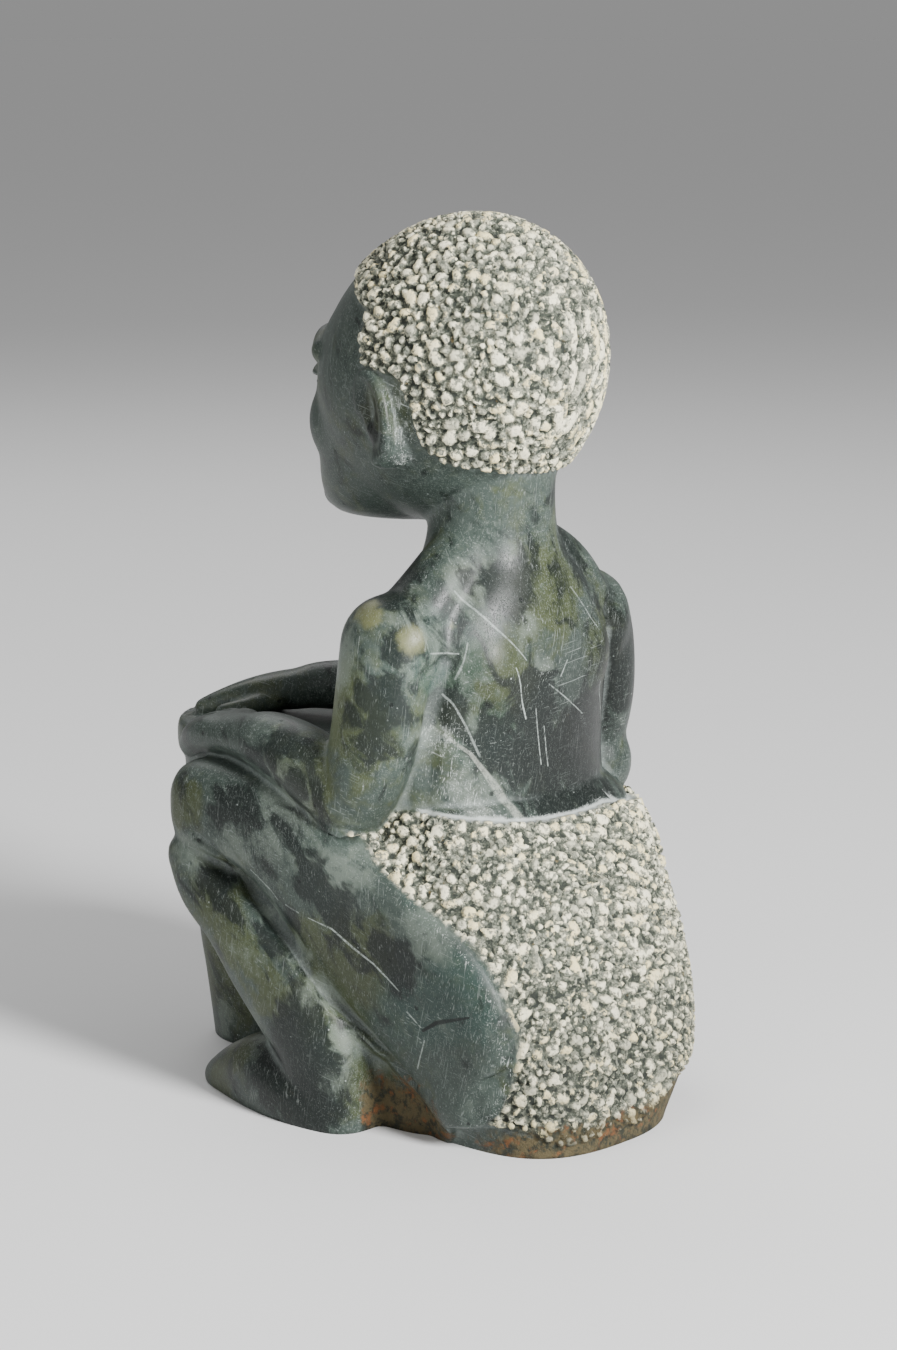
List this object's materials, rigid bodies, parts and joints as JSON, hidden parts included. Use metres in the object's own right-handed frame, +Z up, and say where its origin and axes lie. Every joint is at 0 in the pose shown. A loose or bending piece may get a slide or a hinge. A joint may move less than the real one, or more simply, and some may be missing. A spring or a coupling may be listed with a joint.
{
  "type": "stone drummer sculpture",
  "caption": "Carved stone figure of a seated drummer with hands on a tapered drum held between the knees, rough pecked hair and wrap, and a flat base.",
  "frame": {"origin": "middle of the outline's box, on the flat sawn underside that the carving stands on", "axes": "+Z up through the head, -Y the way the figure faces, +X the figure's left side"},
  "size_m": [0.1128, 0.154, 0.2189],
  "materials": {
    "green_serpentine": "satin polished dark green stone, pecked rough and pale on the hair and wrap"
  },
  "bodies": {
    "root": {"stone_drummer": "green_serpentine"}
  },
  "joints": []
}
